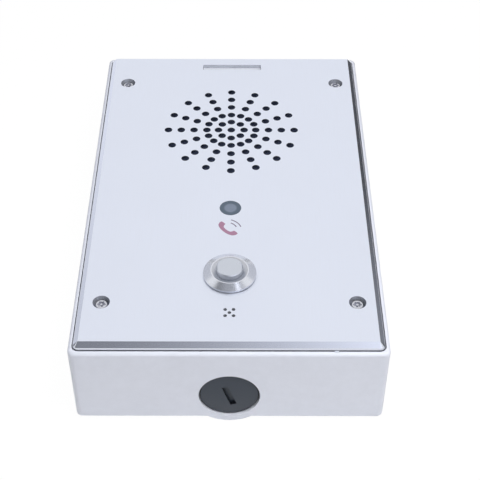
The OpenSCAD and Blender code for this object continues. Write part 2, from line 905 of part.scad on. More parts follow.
module button_contact_block() {
    color("dimgray")
        translate([0, button_y, 0])
            rotate_extrude()
                polygon([
                    [0, block_end_z],
                    [block_r, block_end_z],
                    [block_r, barrel_end_z],
                    [cap_shoulder_r + loose, barrel_end_z],
                    [cap_shoulder_r + loose, block_top_z],
                    [stem_r + stem_room, block_top_z],
                    [stem_r + stem_room, stem_well_z],
                    [0, stem_well_z]
                ]);
}

module button_terminals() {
    color("goldenrod")
        for (sx = [-1, 1], sy = [-1, 1])
            standing_box(
                [sx * wire_shift, button_y + sy * terminal_step], terminal_size, block_end_z - terminal_h
            );
}

// Camera

module camera_window() {
    color("slategray")
        column([0, camera_y], window_d, face_z - window_t, face_z);
}

module window_seal() {
    color("black")
        ring([0, camera_y], window_d / 2 - fit, camera_hole_r, window_seal_z, face_z - window_t);
}

module lens_barrel() {
    glass_r = lens_head_d / 2 - lens_rim;
    color("black")
        difference() {
            union() {
                column([0, camera_y], lens_head_d, lens_top_z - lens_head_h, lens_top_z);
                column([0, camera_y], lens_thread_d, lens_top_z - lens_l, lens_top_z - lens_head_h + eps);
            }
            column([0, camera_y], 2 * glass_r, lens_top_z - lens_glass_t, lens_top_z + eps);
            column([0, camera_y], lens_bore_d, lens_top_z - lens_l - eps, lens_top_z - lens_glass_t + eps);
        }
}

module lens_glass() {
    glass_r = lens_head_d / 2 - lens_rim - fit;
    color("steelblue")
        intersection() {
            column([0, camera_y], 2 * glass_r, lens_top_z - lens_glass_t, lens_top_z);
            translate([0, camera_y, lens_top_z - lens_glass_sink - lens_dome_r])
                sphere(r = lens_dome_r);
        }
}

module lens_holder() {
    tube_d = lens_thread_d + 2 * fit + 2 * holder_wall;
    base_w = tube_d + holder_base_over;
    holder_top_z = lens_top_z - lens_head_h - loose;
    color("black")
        difference() {
            union() {
                standing_box([0, camera_y], [base_w, base_w, holder_base_h], camera_board_top_z);
                column([0, camera_y], tube_d, camera_board_top_z, holder_top_z);
            }
            column([0, camera_y], lens_thread_d + 2 * fit, camera_board_top_z - eps, holder_top_z + eps);
        }
}

module image_sensor() {
    color("darkgreen")
        standing_box([0, camera_y], sensor_size, camera_board_top_z);
}

module camera_board() {
    color("seagreen")
        difference() {
            standing_box([0, camera_y], [camera_board_w, camera_board_l, board_t], camera_board_z);
            for (p = camera_points)
                column(p, small_hole_d, camera_board_z - eps, camera_board_top_z + eps);
        }
}

module camera_standoffs() {
    color("goldenrod")
        for (p = camera_points)
            difference() {
                union() {
                    translate([p[0], p[1], camera_board_top_z])
                        cylinder(d = standoff_flats / cos(30), h = standoff_l, $fn = 6);
                    column(p, small_screw_d, skin_z - eps, skin_z + stud_l);
                }
                column(p, small_hole_d, camera_board_top_z - eps, camera_board_top_z + standoff_bore);
            }
}

module camera_screws() {
    color("silver")
        for (p = camera_points)
            translate([p[0], p[1], camera_board_z])
                mirror([0, 0, 1])
                    pan_screw(small_head_d, small_head_h, small_screw_d, camera_screw_l, small_drive_d);
}

// Speaker

module speaker_mesh() {
    color("black")
        column([0, speaker_y], speaker_d, mesh_z, skin_z);
}

module speaker_gasket() {
    color("dimgray")
        ring(
            [0, speaker_y], speaker_r, speaker_r - flange_w + surround_seat + 2 * loose,
            speaker_flange_z, mesh_z
        );
}

module speaker_frame() {
    throat_r = speaker_r - flange_w;
    color("gray")
        difference() {
            union() {
                translate([0, speaker_y, 0])
                    rotate_extrude()
                        polygon([
                            [coil_r + neck_gap, basket_z],
                            [basket_floor_r + basket_t, basket_z],
                            [throat_r + basket_t, flange_back_z],
                            [speaker_r, flange_back_z],
                            [speaker_r, speaker_flange_z],
                            [throat_r, speaker_flange_z],
                            [basket_floor_r, basket_z + basket_t],
                            [coil_r + neck_gap, basket_z + basket_t]
                        ]);
                translate([tag_r - tag_size[0] / 2, speaker_y - tag_size[1] / 2, tag_z])
                    cube([tag_size[0], tag_size[1], flange_back_z - tag_z]);
            }
            for (turn = [60:60:300])
                translate([0, speaker_y, basket_window_z])
                    rotate(turn)
                        translate([basket_floor_r - basket_window_w / 4, -basket_window_w / 2, 0])
                            cube([speaker_r, basket_window_w, basket_window_h]);
        }
}

module speaker_surround() {
    roll_r = roll_w / 2 - surround_t;
    color("black")
        translate([0, speaker_y, 0])
            difference() {
                rotate_extrude()
                    union() {
                        translate([cone_r - surround_lap, speaker_flange_z])
                            square([roll_w + surround_seat + surround_lap, surround_t]);
                        intersection() {
                            translate([cone_r + roll_w / 2, speaker_flange_z])
                                circle(r = roll_r);
                            translate([cone_r, speaker_flange_z])
                                square([roll_w, roll_w]);
                        }
                    }
                rotate_extrude()
                    intersection() {
                        translate([cone_r + roll_w / 2, speaker_flange_z])
                            circle(r = roll_r - roll_t);
                        translate([cone_r, speaker_flange_z - eps])
                            square([roll_w, roll_w]);
                    }
            }
}

module speaker_cone() {
    edge_z = speaker_flange_z - fit;
    color("darkslategray")
        translate([0, speaker_y, 0])
            rotate_extrude()
                polygon([
                    [coil_r + fit, cone_neck_z],
                    [coil_r + fit + 2 * cone_t, cone_neck_z],
                    [cone_r - cone_t, edge_z - cone_t],
                    [cone_r, edge_z - cone_t],
                    [cone_r, edge_z],
                    [cone_r - surround_lap, edge_z],
                    [coil_r + fit, cone_neck_z + 2 * cone_t]
                ]);
}

module speaker_dust_cap() {
    dome_r = coil_r * 1.5;
    sink = sqrt(dome_r * dome_r - coil_r * coil_r);
    color("black")
        translate([0, speaker_y, cap_ring_z])
            difference() {
                intersection() {
                    cylinder(r = coil_r, h = coil_r);
                    translate([0, 0, -sink])
                        sphere(r = dome_r);
                }
                translate([0, 0, -sink])
                    sphere(r = dome_r - cone_t);
            }
}

module voice_coil() {
    color("peru")
        ring([0, speaker_y], coil_r, coil_r - coil_t, top_plate_z - coil_below, cap_ring_z);
}

module speaker_spider() {
    color("darkgoldenrod")
        ring(
            [0, speaker_y], basket_floor_r - spider_edge, coil_r + spider_gap,
            basket_z + basket_t, basket_z + basket_t + spider_t
        );
}

module speaker_top_plate() {
    color("silver")
        ring([0, speaker_y], magnet_d / 2 - magnet_edge, coil_r + coil_gap, top_plate_z, basket_z);
}

module speaker_magnet() {
    color("dimgray")
        ring([0, speaker_y], magnet_d / 2, coil_r + magnet_gap, magnet_z, top_plate_z);
}

module speaker_yoke() {
    color("silver")
        union() {
            column([0, speaker_y], magnet_d - 2 * magnet_edge, yoke_z, magnet_z);
            column([0, speaker_y], 2 * (coil_r - coil_t - coil_gap), magnet_z - eps, basket_z);
        }
}

module speaker_clamps() {
    color("silver")
        for (turn = [45:90:315])
            difference() {
                translate([0, speaker_y, flange_back_z - clamp_t])
                    rotate(turn)
                        translate([speaker_r - clamp_lap, -clamp_w / 2, 0])
                            cube([clamp_l, clamp_w, clamp_t]);
                column(
                    [clamp_point_r * cos(turn), speaker_y + clamp_point_r * sin(turn)],
                    small_hole_d, flange_back_z - clamp_t - eps, flange_back_z + eps
                );
            }
}

module speaker_screws() {
    reach = skin_z - flange_back_z + clamp_t - tip_room;
    color("silver")
        for (p = clamp_points)
            translate([p[0], p[1], flange_back_z - clamp_t])
                mirror([0, 0, 1])
                    pan_screw(small_head_d, small_head_h, small_screw_d, reach, small_drive_d);
}

// Microphone

module mic_membrane() {
    color("black")
        column([0, mic_y], 2 * boot_r, mic_seal_z, skin_z);
}

module mic_boot() {
    color("black")
        difference() {
            column([0, mic_y], 2 * boot_r, boot_z, mic_seal_z);
            column([0, mic_y], mic_d + 2 * fit, boot_floor_z, mic_seal_z + eps);
        }
}

module mic_capsule() {
    color("silver")
        column([0, mic_y], mic_d, boot_floor_z, boot_floor_z + mic_h);
}

// Light bar

module light_lens() {
    color("white")
        translate([0, light_y, 0])
            union() {
                slab(
                    light_l - 2 * loose, light_w - 2 * loose, light_lens_r,
                    skin_z - eps, face_z - light_recess
                );
                slab(
                    light_l + 2 * light_flange_over, light_w + 2 * light_flange_over, light_flange_r,
                    skin_z - light_flange_t, skin_z
                );
            }
}

module light_board() {
    color("white")
        difference() {
            standing_box([0, light_y], [light_board_l, light_board_w, board_t], light_board_z);
            for (side = [-1, 1])
                column(
                    [side * light_boss_x, light_y], small_hole_d,
                    light_board_z - eps, light_board_top_z + eps
                );
        }
}

module light_leds() {
    step = (light_l - led_size[0]) / (led_count - 1);
    color("khaki")
        for (i = [0:led_count - 1])
            standing_box([(i - (led_count - 1) / 2) * step, light_y], led_size, light_board_top_z);
}

module light_screws() {
    reach = skin_z - light_board_z - tip_room;
    color("silver")
        for (side = [-1, 1])
            translate([side * light_boss_x, light_y, light_board_z])
                mirror([0, 0, 1])
                    pan_screw(small_head_d, small_head_h, small_screw_d, reach, small_drive_d);
}

// Main board

module main_board() {
    color("seagreen")
        difference() {
            standing_box([0, 0], [board_w, board_l, board_t], board_z);
            for (p = board_points)
                column(p, small_hole_d, board_z - eps, board_top_z + eps);
        }
}

module board_screws() {
    reach = board_t + board_post_h - tip_room;
    color("silver")
        for (p = board_points)
            translate([p[0], p[1], board_top_z])
                pan_screw(small_head_d, small_head_h, small_screw_d, reach, small_drive_d);
}

module network_jack() {
    mouth_y = jack_at[1] - jack_size[1] / 2 - eps;
    color("silver")
        difference() {
            standing_box(jack_at, jack_size, board_top_z);
            translate([jack_at[0] - jack_mouth[0] / 2, mouth_y, board_top_z + jack_sill])
                cube(jack_mouth);
        }
}

module terminal_blocks() {
    mouth_y = -terminal_block_size[1] / 2 - eps;
    color("green")
        for (at = terminal_block_at)
            difference() {
                standing_box(at, terminal_block_size, board_top_z);
                for (way = [-1:1])
                    translate([at[0] + way * terminal_pitch, at[1], board_top_z]) {
                        translate([0, terminal_screw_shift, terminal_screw_floor])
                            cylinder(d = terminal_screw_d, h = terminal_block_size[2]);
                        translate([-terminal_mouth[0] / 2, mouth_y, terminal_mouth_sill])
                            cube(terminal_mouth);
                    }
            }
}

module lock_relay() {
    color("royalblue")
        standing_box(relay_at, relay_size, board_top_z);
}

module capacitors() {
    color("midnightblue")
        for (at = capacitor_at)
            translate([at[0], at[1], board_top_z])
                rotate_extrude()
                    polygon([
                        [0, 0],
                        [capacitor_d / 2, 0],
                        [capacitor_d / 2, groove_z],
                        [capacitor_d / 2 - groove_depth, groove_z + groove_depth],
                        [capacitor_d / 2, groove_z + 2 * groove_depth],
                        [capacitor_d / 2, capacitor_h],
                        [0, capacitor_h]
                    ]);
}

module power_transformer() {
    flange = [transformer_size[0], transformer_size[1], transformer_flange_h];
    waist = transformer_size - [2 * transformer_inset, 2 * transformer_inset, 0];
    color("gold")
        union() {
            standing_box(transformer_at, flange, board_top_z);
            standing_box(transformer_at, waist, board_top_z);
            standing_box(transformer_at, flange, board_top_z + transformer_size[2] - transformer_flange_h);
        }
}

module processor_shield() {
    color("gainsboro")
        standing_box([0, speaker_y], shield_size, board_top_z);
}

module board_chips() {
    color("black")
        for (at = chip_at)
            standing_box(at, chip_size, board_top_z);
}

module lead_headers() {
    color("ivory")
        for (at = headers)
            standing_box(at, header_size, board_top_z);
}

module speaker_lead() {
    color("red")
        wire_pair(speaker_lead_top, speaker_header);
}

module button_lead() {
    color("blue")
        wire_pair(button_lead_top, button_header);
}

module camera_ribbon() {
    color("orange")
        lead(camera_lead_top, camera_header, ribbon_w / sqrt(2), ribbon_t / sqrt(2), 4, 0);
}

module mic_lead() {
    color("gray")
        wire_pair(mic_lead_top, mic_header);
}

module light_lead() {
    color("white")
        wire_pair(light_lead_top, light_header);
}

rear_housing();
front_plate();
plate_gasket();
plate_screws();
wall_pads();
cable_plug();
plug_seal();
button_bezel();
button_cap();
button_seal();
button_nut();
button_spring();
button_contact_block();
button_terminals();
camera_window();
window_seal();
lens_barrel();
lens_glass();
lens_holder();
image_sensor();
camera_board();
camera_standoffs();
camera_screws();
speaker_mesh();
speaker_gasket();
speaker_frame();
speaker_surround();
speaker_cone();
speaker_dust_cap();
voice_coil();
speaker_spider();
speaker_top_plate();
speaker_magnet();
speaker_yoke();
speaker_clamps();
speaker_screws();
mic_membrane();
mic_boot();
mic_capsule();
light_lens();
light_board();
light_leds();
light_screws();
main_board();
board_screws();
network_jack();
terminal_blocks();
lock_relay();
capacitors();
power_transformer();
processor_shield();
board_chips();
lead_headers();
speaker_lead();
button_lead();
camera_ribbon();
mic_lead();
light_lead();
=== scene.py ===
"""Looks of an outdoor video intercom that lies on its back on a pale floor."""

import math

import bmesh
import bpy
from mathutils import Matrix, Vector
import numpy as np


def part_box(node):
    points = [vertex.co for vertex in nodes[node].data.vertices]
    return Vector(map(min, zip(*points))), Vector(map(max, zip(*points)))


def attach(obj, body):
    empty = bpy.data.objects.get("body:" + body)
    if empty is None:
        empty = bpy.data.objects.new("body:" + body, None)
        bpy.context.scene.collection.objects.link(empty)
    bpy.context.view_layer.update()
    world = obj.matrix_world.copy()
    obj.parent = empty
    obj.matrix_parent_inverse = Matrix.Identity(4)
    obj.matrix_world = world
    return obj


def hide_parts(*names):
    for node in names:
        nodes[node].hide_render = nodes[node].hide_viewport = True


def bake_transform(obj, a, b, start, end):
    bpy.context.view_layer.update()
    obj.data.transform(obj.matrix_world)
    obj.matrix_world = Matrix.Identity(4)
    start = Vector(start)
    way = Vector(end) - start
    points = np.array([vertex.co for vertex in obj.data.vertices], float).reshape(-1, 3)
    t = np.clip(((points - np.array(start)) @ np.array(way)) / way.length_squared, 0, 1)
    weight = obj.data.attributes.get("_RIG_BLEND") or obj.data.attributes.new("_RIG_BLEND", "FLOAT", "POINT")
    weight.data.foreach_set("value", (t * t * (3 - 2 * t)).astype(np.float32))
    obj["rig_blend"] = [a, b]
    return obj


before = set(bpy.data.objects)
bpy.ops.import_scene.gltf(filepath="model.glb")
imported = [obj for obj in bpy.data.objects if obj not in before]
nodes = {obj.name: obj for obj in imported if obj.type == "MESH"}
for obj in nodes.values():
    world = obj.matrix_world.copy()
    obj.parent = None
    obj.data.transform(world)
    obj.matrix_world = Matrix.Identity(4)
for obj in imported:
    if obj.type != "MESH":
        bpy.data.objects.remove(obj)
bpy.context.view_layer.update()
MM = 0.001


def tone(red, green, blue):
    """Linear colour of a display colour given in steps of 255."""
    def linear(step):
        share = step / 255
        return share / 12.92 if share <= 0.04045 else ((share + 0.055) / 1.055) ** 2.4
    return (linear(red), linear(green), linear(blue), 1.0)


def shade(colour, factor):
    """A lighter or darker copy of a colour."""
    return tuple(min(1.0, channel * factor) for channel in colour[:3]) + (1.0,)


# Material building blocks


def start_material(name):
    material = bpy.data.materials.new(name)
    material.use_nodes = True
    return material, material.node_tree, material.node_tree.nodes["Principled BSDF"]


def add(tree, kind, values=None, **settings):
    """A shader node; a value that is a socket is linked, any other is set on the input."""
    made = tree.nodes.new(kind)
    for key, value in settings.items():
        setattr(made, key, value)
    for key, value in (values or {}).items():
        if isinstance(value, bpy.types.NodeSocket):
            tree.links.new(value, made.inputs[key])
        else:
            made.inputs[key].default_value = value
    return made


def noise(tree, scale, stretch=(1, 1, 1), detail=3.0, vector=None):
    """Grey noise in the object's own metres, stretched along its axes."""
    if vector is None:
        vector = add(tree, "ShaderNodeTexCoord").outputs["Object"]
    mapped = add(tree, "ShaderNodeMapping", {"Vector": vector, "Scale": stretch})
    values = {"Vector": mapped.outputs[0], "Scale": scale, "Detail": detail}
    return add(tree, "ShaderNodeTexNoise", values).outputs[0]


def spread(tree, value, low, high, start=0.3, end=0.7):
    """A grey value moved from one range to another."""
    values = {"Value": value, "From Min": start, "From Max": end, "To Min": low, "To Max": high}
    return add(tree, "ShaderNodeMapRange", values).outputs[0]


def mix(tree, factor, first, second):
    made = add(tree, "ShaderNodeMix", data_type="RGBA")
    for index, value in ((0, factor), (6, first), (7, second)):
        if isinstance(value, bpy.types.NodeSocket):
            tree.links.new(value, made.inputs[index])
        else:
            made.inputs[index].default_value = value
    return made.outputs[2]


def math_node(tree, operation, first, second=0.0):
    return add(tree, "ShaderNodeMath", {0: first, 1: second}, operation=operation).outputs[0]


def weighted_sum(tree, start, *parts):
    """A number plus each grey value times its weight."""
    total = start
    for value, weight in parts:
        node = add(tree, "ShaderNodeMath", {0: value, 1: weight, 2: total}, operation="MULTIPLY_ADD")
        total = node.outputs[0]
    return total


def axis_distance(tree, centre):
    """Distance of a point from the upright axis through a centre, in metres."""
    place = add(tree, "ShaderNodeTexCoord").outputs["Object"]
    values = {0: place, 1: (centre[0], centre[1], 0.0)}
    from_axis = add(tree, "ShaderNodeVectorMath", values, operation="SUBTRACT").outputs[0]
    flat = add(tree, "ShaderNodeVectorMath", {0: from_axis, 1: (1, 1, 0)}, operation="MULTIPLY").outputs[0]
    return add(tree, "ShaderNodeVectorMath", {0: flat}, operation="LENGTH").outputs["Value"]


def normal_part(tree, axis):
    """One part of the surface's direction in the object's own axes."""
    normal = add(tree, "ShaderNodeTexCoord").outputs["Normal"]
    return add(tree, "ShaderNodeSeparateXYZ", {0: normal}).outputs[axis]


def bump(tree, shader, height, distance):
    values = {"Height": height, "Strength": 1.0, "Distance": distance}
    tree.links.new(add(tree, "ShaderNodeBump", values).outputs[0], shader.inputs["Normal"])


def surface(name, colour, rough, metallic=0.0, grain=900.0, stretch=(1, 1, 1), patch=0.06,
            rough_patch=0.12, depth=0.0, depth_grain=2500.0, coat=0.0):
    """A plain surface whose colour, gloss and relief vary a little over it."""
    material, tree, shader = start_material(name)
    cloud = noise(tree, grain, stretch)
    share = spread(tree, cloud, 0.0, 1.0)
    colour_mix = mix(tree, share, shade(colour, 1 - patch), shade(colour, 1 + patch))
    tree.links.new(colour_mix, shader.inputs["Base Color"])
    rough_value = spread(tree, cloud, rough * (1 - rough_patch), rough * (1 + rough_patch))
    tree.links.new(rough_value, shader.inputs["Roughness"])
    shader.inputs["Metallic"].default_value = metallic
    shader.inputs["Coat Weight"].default_value = coat
    if depth:
        bump(tree, shader, noise(tree, depth_grain, stretch), depth)
    return material


def dress(material, *names):
    """Puts a material on CAD nodes."""
    for name in names:
        slots = nodes[name].data.materials
        slots.clear()
        slots.append(material)


# Face plate: satin brushed face, bright cut bevels, duller bores and painted shade in the gap below the
# case's rim

FACE_COLOUR = tone(227, 231, 242)
BEVEL_COLOUR = tone(216, 219, 228)
BORE_COLOUR = tone(202, 205, 212)
FACE_ROUGH = 0.40
BEVEL_ROUGH = 0.13
BORE_ROUGH = 0.26
FACE_METAL = 0.9
BORE_METAL = 0.6
# Painted shade: the dark colour of the plate's edge in the gap below the case's rim
GAP_SHADE_COLOUR = tone(88, 91, 102)
GAP_SHADE_BAND = 3 * MM
EDGE_BLUR = 0.1 * MM
SOUND_FIELD_R = 37 * MM
# A slope is a range of one part of the surface's direction
FLAT_SLOPE = (0.93, 0.97)
UPRIGHT_SLOPE = (0.05, 0.3)
BRUSH_STRETCH = (2600, 60, 60)
BRUSH_TONE = 0.015
BRUSH_ROUGH = 0.05
BRUSH_DEPTH = 0.000004
CLOUD_GRAIN = 26.0
CLOUD_SHADE = 0.98


def key_span(corner):
    """Middle and half width of the key, which stands out past the plate's straight lower edge."""
    points = [vertex.co for vertex in nodes["front_plate"].data.vertices]
    places = [point.x for point in points if point.y < -corner.y - EDGE_BLUR]
    return (min(places) + max(places)) / 2, (max(places) - min(places)) / 2


def edge_masks(tree, corner, rim_z):
    """Masks for the plate's outer edge below the rim of the case: the band painted dark as shade in the gap,
    and the pale key in it.
    """
    place = add(tree, "ShaderNodeTexCoord").outputs["Object"]
    parts = add(tree, "ShaderNodeSeparateXYZ", {0: place}).outputs
    across = math_node(tree, "ABSOLUTE", parts[0])
    along = math_node(tree, "ABSOLUTE", parts[1])
    band_x = corner.x - GAP_SHADE_BAND
    band_y = corner.y - GAP_SHADE_BAND
    at_side = spread(tree, across, 0.0, 1.0, band_x, band_x + EDGE_BLUR)
    at_end = spread(tree, along, 0.0, 1.0, band_y, band_y + EDGE_BLUR)
    at_lower_end = spread(tree, parts[1], 1.0, 0.0, -band_y - EDGE_BLUR, -band_y)
    key_x, key_half = key_span(corner)
    from_key = math_node(tree, "ABSOLUTE", math_node(tree, "SUBTRACT", parts[0], key_x))
    in_span = spread(tree, from_key, 1.0, 0.0, key_half, key_half + EDGE_BLUR)
    key = math_node(tree, "MULTIPLY", in_span, at_lower_end)
    below = spread(tree, parts[2], 1.0, 0.0, rim_z - EDGE_BLUR, rim_z)
    off_key = math_node(tree, "SUBTRACT", 1.0, key)
    edge = math_node(tree, "MULTIPLY", math_node(tree, "MAXIMUM", at_side, at_end), off_key)
    return math_node(tree, "MULTIPLY", edge, below), math_node(tree, "MULTIPLY", key, below)


def plate_material(sound_centre, corner, rim_z):
    """The upright walls of the sound holes stay as bright metal, so that they mirror the dark cloth."""
    material, tree, shader = start_material("plate_metal")
    brush = noise(tree, 1.0, BRUSH_STRETCH, 4.0)
    cloud = noise(tree, CLOUD_GRAIN, (1, 1, 1), 2.0)
    up = normal_part(tree, 2)
    flat = spread(tree, up, 0.0, 1.0, *FLAT_SLOPE)
    from_sound = axis_distance(tree, sound_centre)
    outside = spread(tree, from_sound, 0.0, 1.0, SOUND_FIELD_R, SOUND_FIELD_R + MM)
    upright = math_node(tree, "MULTIPLY", spread(tree, up, 1.0, 0.0, *UPRIGHT_SLOPE), outside)
    dark_line = shade(FACE_COLOUR, 1 - BRUSH_TONE)
    light_line = shade(FACE_COLOUR, 1 + BRUSH_TONE)
    face = mix(tree, spread(tree, brush, 0.0, 1.0), dark_line, light_line)
    face = mix(tree, spread(tree, cloud, 0.0, 0.5), face, shade(FACE_COLOUR, CLOUD_SHADE))
    bores = mix(tree, upright, BEVEL_COLOUR, BORE_COLOUR)
    gap_shade, key = edge_masks(tree, corner, rim_z)
    metals = mix(tree, flat, bores, face)
    # The plate's edge in the gap below the case's rim is painted dark as shade
    tree.links.new(mix(tree, gap_shade, metals, GAP_SHADE_COLOUR), shader.inputs["Base Color"])
    flat_rough = (flat, FACE_ROUGH - BEVEL_ROUGH)
    bore_rough = (upright, BORE_ROUGH - BEVEL_ROUGH)
    rough = weighted_sum(tree, BEVEL_ROUGH, flat_rough, bore_rough)
    streak = math_node(tree, "MULTIPLY", spread(tree, brush, -BRUSH_ROUGH, BRUSH_ROUGH), flat)
    tree.links.new(math_node(tree, "ADD", rough, streak), shader.inputs["Roughness"])
    metal = weighted_sum(tree, 1.0, (flat, FACE_METAL - 1.0), (upright, BORE_METAL - 1.0))
    # Neither the painted gap shade nor the key is metallic
    gap_shade_or_key = math_node(tree, "MAXIMUM", gap_shade, key)
    clear_of_gap_shade_and_key = math_node(tree, "SUBTRACT", 1.0, gap_shade_or_key)
    tree.links.new(math_node(tree, "MULTIPLY", metal, clear_of_gap_shade_and_key), shader.inputs["Metallic"])
    bump(tree, shader, math_node(tree, "MULTIPLY", brush, flat), BRUSH_DEPTH)
    return material


# Turned stainless parts: fine rings round an upright axis

RING_DEPTH = 0.000003
DISH_PAINTED_SHADE = 0.8
SATIN_ROUGH = 0.2


def turned_metal(name, colour, rough, centre, ring_step, satin_r=0.0):
    """Inside the satin radius the metal is rougher, and its colour is darker as painted shade in the dish
    round the cap.
    """
    material, tree, shader = start_material(name)
    radius = axis_distance(tree, centre)
    line = add(tree, "ShaderNodeCombineXYZ", {0: radius}).outputs[0]
    rings = noise(tree, 1 / ring_step, (1, 1, 1), 4.0, line)
    cloud = noise(tree, 320.0)
    colour_mix = mix(tree, spread(tree, rings, 0.0, 1.0), shade(colour, 0.94), shade(colour, 1.05))
    # Painted shade: inside the dish round the cap the colour is darker; the rougher satin there is real
    satin = spread(tree, radius, 1.0, 0.0, satin_r - EDGE_BLUR, satin_r)
    dish_shaded_colour = mix(tree, satin, colour_mix, shade(colour, DISH_PAINTED_SHADE))
    tree.links.new(dish_shaded_colour, shader.inputs["Base Color"])
    grain = spread(tree, cloud, rough * 0.9, rough * 1.1)
    tree.links.new(weighted_sum(tree, grain, (satin, SATIN_ROUGH)), shader.inputs["Roughness"])
    shader.inputs["Metallic"].default_value = 1.0
    shader.inputs["Anisotropic"].default_value = 0.5
    tangent = add(tree, "ShaderNodeTangent", direction_type="RADIAL", axis="Z")
    tree.links.new(tangent.outputs[0], shader.inputs["Tangent"])
    bump(tree, shader, rings, RING_DEPTH)
    return material


# Camera window: dark mask with a paler clear middle

CLEAR_R = 2.6 * MM
MASK_R = 3.6 * MM


def window_material(centre):
    material, tree, shader = start_material("window_glass")
    mask = spread(tree, axis_distance(tree, centre), 0.0, 1.0, CLEAR_R, MASK_R)
    cloud = noise(tree, 500.0)
    ring = mix(tree, cloud, tone(64, 80, 98), tone(76, 92, 110))
    middle = mix(tree, cloud, tone(104, 116, 136), tone(118, 130, 150))
    tree.links.new(mix(tree, mask, middle, ring), shader.inputs["Base Color"])
    tree.links.new(spread(tree, cloud, 0.07, 0.1), shader.inputs["Roughness"])
    shader.inputs["Coat Weight"].default_value = 0.3
    return material


# Entry plug: satin face, with its edge and slot painted darker as shade

PLUG_FACE_SLOPE = (-0.97, -0.85)
PLUG_GRAIN = 2600.0
PLUG_DEPTH = 0.000012


def plug_material():
    material, tree, shader = start_material("plug_plastic")
    face = spread(tree, normal_part(tree, 1), 1.0, 0.0, *PLUG_FACE_SLOPE)
    cloud = noise(tree, 1500.0)
    satin = mix(tree, cloud, tone(36, 45, 58), tone(44, 53, 66))
    painted_edge_shade = mix(tree, cloud, tone(20, 23, 29), tone(26, 29, 35))
    # Painted shade: faces that don't look out to the front, the plug's edge and its slot walls, get the
    # darker colour
    tree.links.new(mix(tree, face, painted_edge_shade, satin), shader.inputs["Base Color"])
    tree.links.new(spread(tree, cloud, 0.42, 0.52), shader.inputs["Roughness"])
    bump(tree, shader, noise(tree, PLUG_GRAIN), PLUG_DEPTH)
    return material


# Boards and cloth

TRACK_SCALE = 90.0
TRACK_WIDTH = 0.035
WEAVE_SCALE = 520.0
WEAVE_DEPTH = 0.00005


def circuit_board(name, base, trace):
    """Board with a faint net of straight tracks under its mask."""
    material, tree, shader = start_material(name)
    place = add(tree, "ShaderNodeTexCoord").outputs["Object"]
    cells = add(tree, "ShaderNodeTexBrick", {
        "Vector": place, "Scale": TRACK_SCALE, "Mortar Size": TRACK_WIDTH, "Mortar Smooth": 0.1,
        "Color1": base, "Color2": shade(base, 1.15), "Mortar": trace,
    })
    tree.links.new(cells.outputs[0], shader.inputs["Base Color"])
    tree.links.new(spread(tree, noise(tree, 700.0), 0.3, 0.42), shader.inputs["Roughness"])
    shader.inputs["Coat Weight"].default_value = 0.2
    return material


def cloth(name, colour):
    """Woven surface: two crossed waves as relief."""
    material, tree, shader = start_material(name)
    place = add(tree, "ShaderNodeTexCoord").outputs["Object"]
    values = {"Vector": place, "Scale": WEAVE_SCALE}
    weft = add(tree, "ShaderNodeTexWave", values, bands_direction="X").outputs[1]
    warp = add(tree, "ShaderNodeTexWave", values, bands_direction="Y").outputs[1]
    weave = math_node(tree, "MULTIPLY", weft, warp)
    tree.links.new(mix(tree, weave, shade(colour, 0.6), shade(colour, 1.3)), shader.inputs["Base Color"])
    shader.inputs["Roughness"].default_value = 0.85
    bump(tree, shader, weave, WEAVE_DEPTH)
    return material


def centre_of(node):
    low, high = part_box(node)
    return (low + high) / 2


button_centre = centre_of("button_cap")
window_centre = centre_of("camera_window")
speaker_centre = centre_of("speaker_frame")
PLATE_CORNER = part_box("front_plate")[1]
RIM_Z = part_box("rear_housing")[1].z

BEZEL_STEEL = tone(224, 226, 232)
CAP_STEEL = tone(205, 209, 217)
DISH_R = 8.6 * MM
BLACK = tone(32, 33, 35)
case_paint = surface("case_paint", tone(225, 228, 239), 0.35, 0.06, 260.0, patch=0.015)
bright_steel = surface("bright_steel", tone(205, 206, 212), 0.12, 1.0, 1500.0, patch=0.05)
zinc_steel = surface("zinc_steel", tone(190, 194, 202), 0.34, 1.0, 260.0, patch=0.1)
tinned_sheet = surface("tinned_sheet", tone(206, 208, 212), 0.28, 1.0, 180.0, patch=0.07)
brass = surface("brass", tone(205, 172, 98), 0.3, 1.0, 500.0, patch=0.08)
copper = surface("copper", tone(190, 110, 62), 0.35, 1.0, 1.0, (300, 300, 9000), patch=0.2)
black_rubber = surface("black_rubber", tone(36, 36, 38), 0.75, 0.0, 1600.0, patch=0.2, depth=0.00002)
foam = surface("foam", tone(62, 62, 64), 0.9, 0.0, 2200.0, patch=0.3, depth=0.00008)
black_plastic = surface("black_plastic", BLACK, 0.45, 0.0, 1500.0, patch=0.15, depth=0.000008)
diffuser = surface("diffuser", tone(226, 229, 238), 0.3, 0.0, 800.0, patch=0.02, depth=0.000006)
lens_coat = surface("lens_coat", tone(38, 46, 64), 0.05, 0.0, 300.0, patch=0.2, coat=1.0)
ferrite = surface("ferrite", tone(70, 70, 74), 0.6, 0.2, 1300.0, patch=0.2, depth=0.00002)
cone_paper = surface("cone_paper", tone(44, 44, 46), 0.85, 0.0, 1100.0, patch=0.25, depth=0.00004)
spider_cloth = cloth("spider_cloth", tone(190, 160, 96))
speaker_cloth = cloth("speaker_cloth", tone(62, 68, 87))
mic_cloth = cloth("mic_cloth", tone(88, 91, 108))
green_board = circuit_board("green_board", tone(28, 96, 62), tone(58, 130, 84))
white_board = circuit_board("white_board", tone(226, 227, 226), tone(206, 208, 208))
green_plastic = surface("green_plastic", tone(36, 140, 74), 0.4, patch=0.08)
blue_plastic = surface("blue_plastic", tone(38, 84, 158), 0.35, patch=0.08)
can_sleeve = surface("can_sleeve", tone(36, 40, 92), 0.25, patch=0.1, coat=0.4)
yellow_tape = surface("yellow_tape", tone(212, 182, 70), 0.4, patch=0.08)
ivory_plastic = surface("ivory_plastic", tone(232, 226, 206), 0.4, patch=0.05)
